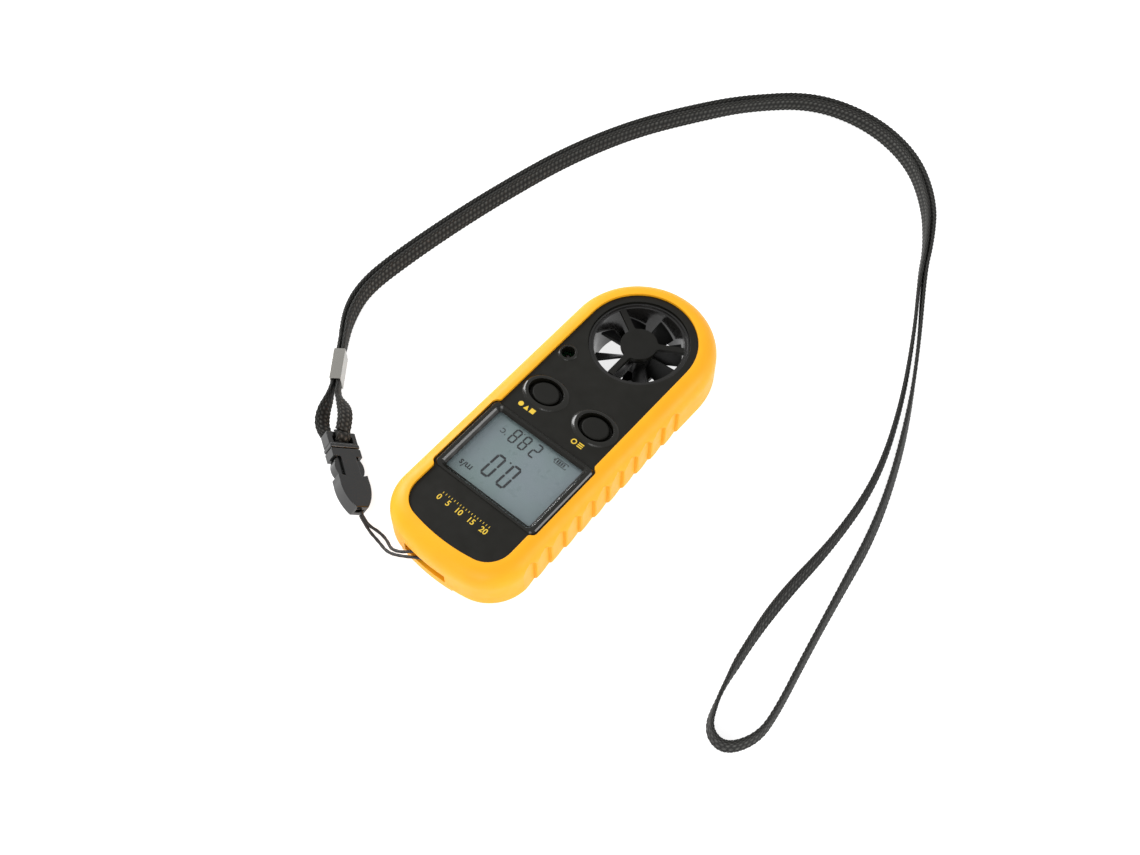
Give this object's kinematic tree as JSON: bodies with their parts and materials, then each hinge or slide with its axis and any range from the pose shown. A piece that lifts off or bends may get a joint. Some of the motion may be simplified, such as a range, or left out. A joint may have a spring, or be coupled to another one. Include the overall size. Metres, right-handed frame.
{
  "type": "handheld weather meter",
  "caption": "Pocket vane anemometer with a fan, a display, keys and a rubbery case, on a neck lanyard with a side-release buckle.",
  "frame": {"origin": "bottom centre of the meter lying on its back, lanyard left out", "axes": "+Z out of the display face, +Y along the case towards the fan, +X to the right of the display"},
  "size_m": [0.1726, 0.2109, 0.0145],
  "materials": {
    "orange_case": "satin",
    "black_panel": "satin",
    "clear_window": "gloss",
    "display_glass": "satin",
    "white_plastic": "matte",
    "connector_rubber": "matte",
    "board": "satin",
    "epoxy": "gloss",
    "switch_metal": "satin",
    "key_rubber": "matte",
    "black_gloss": "gloss",
    "bearing_bronze": "satin",
    "rotor_plastic": "satin",
    "magnet": "matte",
    "steel": "satin",
    "contact_plating": "gloss",
    "cell_steel": "satin",
    "string_cord": "matte",
    "buckle_black": "gloss",
    "nickel": "satin",
    "strap_webbing": "matte"
  },
  "bodies": {
    "case": {"front_shell": "orange_case", "back_shell": "orange_case", "front_panel": "black_panel", "display_window": "clear_window", "display_cell": "display_glass", "display_holder": "white_plastic", "zebra_connectors": "connector_rubber", "circuit_board": "board", "board_chip": "epoxy", "key_switches": "switch_metal", "thermistor": "epoxy", "pickup_sensor": "epoxy", "fan_duct": "black_gloss", "front_spider": "black_gloss", "rear_spider": "black_gloss", "front_bearing": "bearing_bronze", "rear_bearing": "bearing_bronze", "battery_holder": "black_panel", "side_contact": "contact_plating", "end_contact": "contact_plating", "coin_cell": "cell_steel", "case_screws": "steel", "board_screws": "steel", "lanyard_string": "string_cord", "buckle_socket": "buckle_black"},
    "rotor": {"rotor": "rotor_plastic", "rotor_magnet": "magnet", "rotor_axle": "steel"},
    "mode_key": {"mode_key": "key_rubber"},
    "set_key": {"set_key": "key_rubber"},
    "battery_cover": {"battery_cover": "orange_case"},
    "strap_half": {"buckle_plug": "buckle_black", "buckle_arms": "buckle_black", "strap_crimp": "nickel", "neck_strap": "strap_webbing"}
  },
  "joints": [
    {"name": "rotor_spin", "type": "hinge", "parent": "case", "child": "rotor", "pos_m": [0, 0.03215, 0.007], "axis": [0, 0, 1], "continuous": true},
    {"name": "mode_press", "type": "slide", "parent": "case", "child": "mode_key", "axis": [0, 0, -1], "range_m": [0, 0.0007], "stiffness_N_per_m": 1500, "springref_m": -0.0004},
    {"name": "set_press", "type": "slide", "parent": "case", "child": "set_key", "axis": [0, 0, -1], "range_m": [0, 0.0007], "stiffness_N_per_m": 1500, "springref_m": -0.0004},
    {"name": "cover_turn", "type": "hinge", "parent": "case", "child": "battery_cover", "pos_m": [0, -0.02, 0.001], "axis": [0, 0, 1], "range_deg": [0, 35]},
    {"name": "buckle_release", "type": "slide", "parent": "case", "child": "strap_half", "axis": [-0.8526, 0.5225, 0], "range_m": [0, 0.012], "deforming": ["buckle_arms"]}
  ]
}
